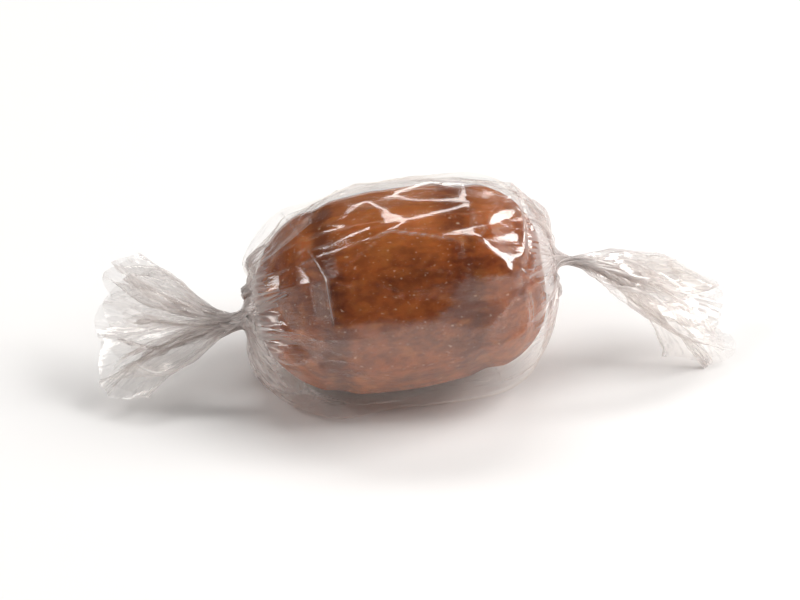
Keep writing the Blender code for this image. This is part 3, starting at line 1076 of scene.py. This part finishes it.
def clear_and_mirror(tree, place, in_tail):
    """Clear film with fine ripples, which mirrors a little face on and much at a slant."""
    clear = coloured_shader(tree, "ShaderNodeBsdfTransparent", FILM_CLEAR)
    mirror = coloured_shader(tree, "ShaderNodeBsdfGlossy", FILM_MIRROR)
    set_inputs(mirror, {"Roughness": FILM_ROUGHNESS})
    ripples = math_node(tree, "MULTIPLY", noise_node(tree, place, *RIPPLES), attribute_node(tree, "ripple"))
    tree.links.new(bump_node(tree, ripples, 1.0, RIPPLE_HEIGHT * MM), mirror.inputs["Normal"])
    facing = tree.nodes.new("ShaderNodeLayerWeight")
    set_inputs(facing, {"Blend": 0.5})
    slant = math_node(tree, "POWER", facing.outputs["Facing"], SLANT_POWER)
    most = math_node(tree, "MULTIPLY_ADD", in_tail, -MIRROR_LOST_IN_TAIL, MIRROR_AT_SLANT)
    slant = math_node(tree, "MULTIPLY", slant, most)
    share = math_node(tree, "ADD", slant, MIRROR_FACE_ON)
    return mix_shaders(tree, share, clear.outputs[0], mirror.outputs[0])


def haze_share(tree, place, in_tail):
    """How hazy the film is: most at its creases, at its necks and in its tails' streaks."""
    streaks = ramp_node(tree, noise_node(tree, place, *TAIL_STREAKS), *TAIL_STREAK_RANGE, 1.0)
    share = math_node(tree, "MULTIPLY", streaks, in_tail)
    share = math_node(tree, "MULTIPLY_ADD", share, HAZE_TAIL, HAZE_LEAST)
    share = math_node(tree, "MULTIPLY_ADD", attribute_node(tree, "crease"), HAZE_CREASE, share)
    share = math_node(tree, "MULTIPLY_ADD", attribute_node(tree, "neck"), HAZE_NECK, share)
    return math_node(tree, "MINIMUM", share, HAZE_MOST)


def film_material():
    """Thin clear film with some white haze, which is lit from the front and from behind, and tinted pink with
    painted light bounced from the sweet.
    """
    material, tree, output = new_material("clear_film")
    place = tree.nodes.new("ShaderNodeCombineXYZ")
    tree.links.new(attribute_node(tree, "around"), place.inputs[0])
    tree.links.new(attribute_node(tree, "along"), place.inputs[1])
    in_tail = attribute_node(tree, "tail")
    film = clear_and_mirror(tree, place.outputs[0], in_tail)
    front = coloured_shader(tree, "ShaderNodeBsdfDiffuse", FILM_HAZE_WITH_PAINTED_WARM_BOUNCE)
    behind = coloured_shader(tree, "ShaderNodeBsdfTranslucent", FILM_HAZE_WITH_PAINTED_WARM_BOUNCE)
    haze = mix_shaders(tree, 0.5, front.outputs[0], behind.outputs[0])
    share = haze_share(tree, place.outputs[0], in_tail)
    tree.links.new(mix_shaders(tree, share, film, haze), output.inputs["Surface"])
    return material


def band_share(tree, coords, x):
    """1 on the dark band near each hoop, and 0 away from them, with a wandering edge."""
    across = math_node(tree, "ABSOLUTE", math_node(tree, "ADD", x, BAND_LEFTWARD * MM))
    off_band = math_node(tree, "ABSOLUTE", math_node(tree, "SUBTRACT", across, BAND_PLACE * MM))
    wander = noise_node(tree, coords, *WANDER)
    wander = math_node(tree, "MULTIPLY_ADD", wander, 2.0 * BAND_WANDER * MM, -BAND_WANDER * MM)
    return millimetre_ramp(tree, math_node(tree, "ADD", off_band, wander), *BAND_RANGE, 1.0)


def deep_share(tree, coords, band, streaks, grain, z):
    """How dark the sugar is: most on the bands, in the darker noises, and as painted shade on its underside.
    """
    streak_tone = ramp_node(tree, streaks, *TONE_RANGE, 1.0)
    cloud_tone = ramp_node(tree, noise_node(tree, coords, *CLOUDS), *TONE_RANGE, 1.0)
    deep = math_node(tree, "MULTIPLY", streak_tone, DEEP_STREAK)
    deep = math_node(tree, "MULTIPLY_ADD", band, DEEP_BAND, deep)
    deep = math_node(tree, "MULTIPLY_ADD", cloud_tone, DEEP_CLOUD, deep)
    deep = math_node(tree, "ADD", ramp_node(tree, grain, *GRAIN_RANGE, DEEP_GRAIN), deep)
    # Darker towards the underside: painted shade.
    deep = math_node(tree, "ADD", millimetre_ramp(tree, z, *PAINTED_UNDERSIDE_SHADE_RUN, PAINTED_UNDERSIDE_SHADE), deep)
    return math_node(tree, "MINIMUM", deep, DEEP_MOST)


def sugar_colour(tree, coords, streaks, specks_and_glints, grain):
    """Amber that runs deep and pale, with painted shade on its underside, painted light on its top, paler
    patches partly painted as glow, and pale dots partly painted as glints.
    """
    split = tree.nodes.new("ShaderNodeSeparateXYZ")
    tree.links.new(coords, split.inputs[0])
    z = split.outputs["Z"]
    band = band_share(tree, coords, split.outputs["X"])
    tone = mix_colours(tree, deep_share(tree, coords, band, streaks, grain, z), AMBER, AMBER_DEEP)
    # Paler patches at random: partly the sugar's own uneven tone, partly painted glow of light inside it.
    pale_patches_and_painted_glow = ramp_node(tree, noise_node(tree, coords, *PALE_PATCHES_AND_PAINTED_GLOW), *PALE_PATCHES_AND_PAINTED_GLOW_RANGE, PALE_PATCHES_AND_PAINTED_GLOW_SHARE)
    tone = mix_colours(tree, pale_patches_and_painted_glow, tone, AMBER_PALE_AND_PAINTED_LIGHT)
    # The top is paler: painted light from above, with less of it on the dark bands.
    top = millimetre_ramp(tree, z, *PAINTED_TOP_LIGHT_RUN, PAINTED_TOP_LIGHT_SHARE)
    top = math_node(tree, "MULTIPLY", top, math_node(tree, "MULTIPLY_ADD", band, -PAINTED_TOP_LIGHT_LOST_ON_BAND, 1.0))
    tone = mix_colours(tree, top, tone, AMBER_PALE_AND_PAINTED_LIGHT)
    # Pale dots: partly the sugar's own, partly painted glints.
    return mix_colours(tree, ramp_node(tree, specks_and_glints, *SPECK_AND_PAINTED_GLINT_RANGE, SPECK_AND_PAINTED_GLINT_SHARE), tone, SPECK_AND_PAINTED_GLINT_TONE)


def sugar_bump(tree, streaks, specks_and_glints, grain):
    """The fine unevenness of the sugar's surface."""
    height = math_node(tree, "MULTIPLY", specks_and_glints, BUMP_SPECKS)
    height = math_node(tree, "MULTIPLY_ADD", streaks, BUMP_STREAKS, height)
    height = math_node(tree, "MULTIPLY_ADD", grain, BUMP_GRAIN, height)
    return bump_node(tree, height, BUMP_STRENGTH, BUMP_HEIGHT * MM)


def candy_material():
    """Amber boiled sugar: lengthwise streaks, darker hoops, pale dots partly painted as glints, painted light
    on its top, painted shade on its underside, and light under its skin.
    """
    material, tree, output = new_material("amber_sugar")
    coords = tree.nodes.new("ShaderNodeTexCoord").outputs["Object"]
    noises = [noise_node(tree, coords, *noise) for noise in (STREAKS, SPECK_AND_GLINT_NOISE, GRAIN)]
    shader = tree.nodes.new("ShaderNodeBsdfPrincipled")
    tree.links.new(sugar_colour(tree, coords, *noises), shader.inputs["Base Color"])
    tree.links.new(sugar_bump(tree, *noises), shader.inputs["Normal"])
    set_inputs(shader, {"Roughness": CANDY_ROUGHNESS, "Specular IOR Level": CANDY_SPECULAR})
    set_inputs(shader, {"Subsurface Weight": SUBSURFACE_SHARE, "Subsurface Radius": SUBSURFACE_TONE})
    set_inputs(shader, {"Subsurface Scale": SUBSURFACE_REACH * MM})
    through = coloured_shader(tree, "ShaderNodeBsdfTranslucent", AMBER_THROUGH)
    sugar = mix_shaders(tree, THROUGH_SHARE, shader.outputs[0], through.outputs[0])
    tree.links.new(sugar, output.inputs["Surface"])
    return material


# -------------------- the stage

def make_floor():
    """A plain pale floor."""
    material, tree, output = new_material("floor")
    shader = tree.nodes.new("ShaderNodeBsdfPrincipled")
    set_inputs(shader, {"Base Color": (*FLOOR_COLOUR, 1.0), "Roughness": FLOOR_ROUGHNESS})
    tree.links.new(shader.outputs[0], output.inputs["Surface"])
    mesh = bpy.data.meshes.new("floor")
    corners = [(x * FLOOR_HALF, y * FLOOR_HALF, 0.0) for x, y in ((-1, -1), (1, -1), (1, 1), (-1, 1))]
    mesh.from_pydata(corners, [], [(0, 1, 2, 3)])
    mesh.materials.append(material)
    add_object("floor", mesh)


def add_softbox(name, place, size, power):
    """A rectangular light that faces the sweet."""
    light = bpy.data.lights.new(name, "AREA")
    light.shape = "RECTANGLE"
    light.size, light.size_y = size
    light.energy = power
    lamp = add_object(name, light)
    lamp.location = place
    lamp.rotation_euler = (Vector(LAMP_TARGET) - Vector(place)).to_track_quat("-Z", "Y").to_euler()


def make_world():
    """Soft light all round, brighter near the horizon than overhead, and in front than behind."""
    world = bpy.data.worlds.new("studio")
    world.use_nodes = True
    tree = world.node_tree
    coords = tree.nodes.new("ShaderNodeTexCoord")
    split = tree.nodes.new("ShaderNodeSeparateXYZ")
    tree.links.new(coords.outputs["Generated"], split.inputs[0])
    grey = ramp_node(tree, split.outputs["Z"], *SKY_UPWARD_RANGE, SKY_OVERHEAD, SKY_HORIZON)
    behind = ramp_node(tree, split.outputs["Y"], *SKY_BACKWARD_RANGE, SKY_BACK_SHARE, 1.0)
    grey = math_node(tree, "MULTIPLY", grey, behind)
    tree.links.new(grey, tree.nodes["Background"].inputs["Color"])
    bpy.context.scene.world = world


def make_camera():
    """The photograph's angle, with a long lens."""
    data = bpy.data.cameras.new("camera")
    data.lens = data.sensor_width * VIEW_DISTANCE / VIEW_WIDTH
    data.clip_start = VIEW_CLIP_START
    camera = add_object("camera", data)
    flat = math.cos(VIEW_ELEVATION)
    back = Vector((-math.sin(VIEW_YAW) * flat, -math.cos(VIEW_YAW) * flat, math.sin(VIEW_ELEVATION)))
    camera.location = VIEW_TARGET + back * VIEW_DISTANCE
    camera.rotation_euler = back.to_track_quat("Z", "Y").to_euler()
    bpy.context.scene.camera = camera


def make_stage():
    """Floor, lights, world and camera, and enough bounces for light in many layers of film."""
    make_floor()
    for lamp in LAMPS:
        add_softbox(*lamp)
    make_world()
    make_camera()
    scene = bpy.context.scene
    scene.view_settings.view_transform = "Standard"
    scene.cycles.transparent_max_bounces = 48
    scene.cycles.max_bounces = 24
    scene.cycles.diffuse_bounces = 16
    scene.cycles.glossy_bounces = 12


def main():
    """Build the sweet, its film and the stage."""
    candy = make_candy()
    candy.data.materials.append(candy_material())
    film = make_film()
    film.data.materials.append(film_material())
    for piece, slot in ((candy, "boiled_sweet"), (film, "clear_film")):
        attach(piece, BODY)
        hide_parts(NODE)
    make_stage()


main()
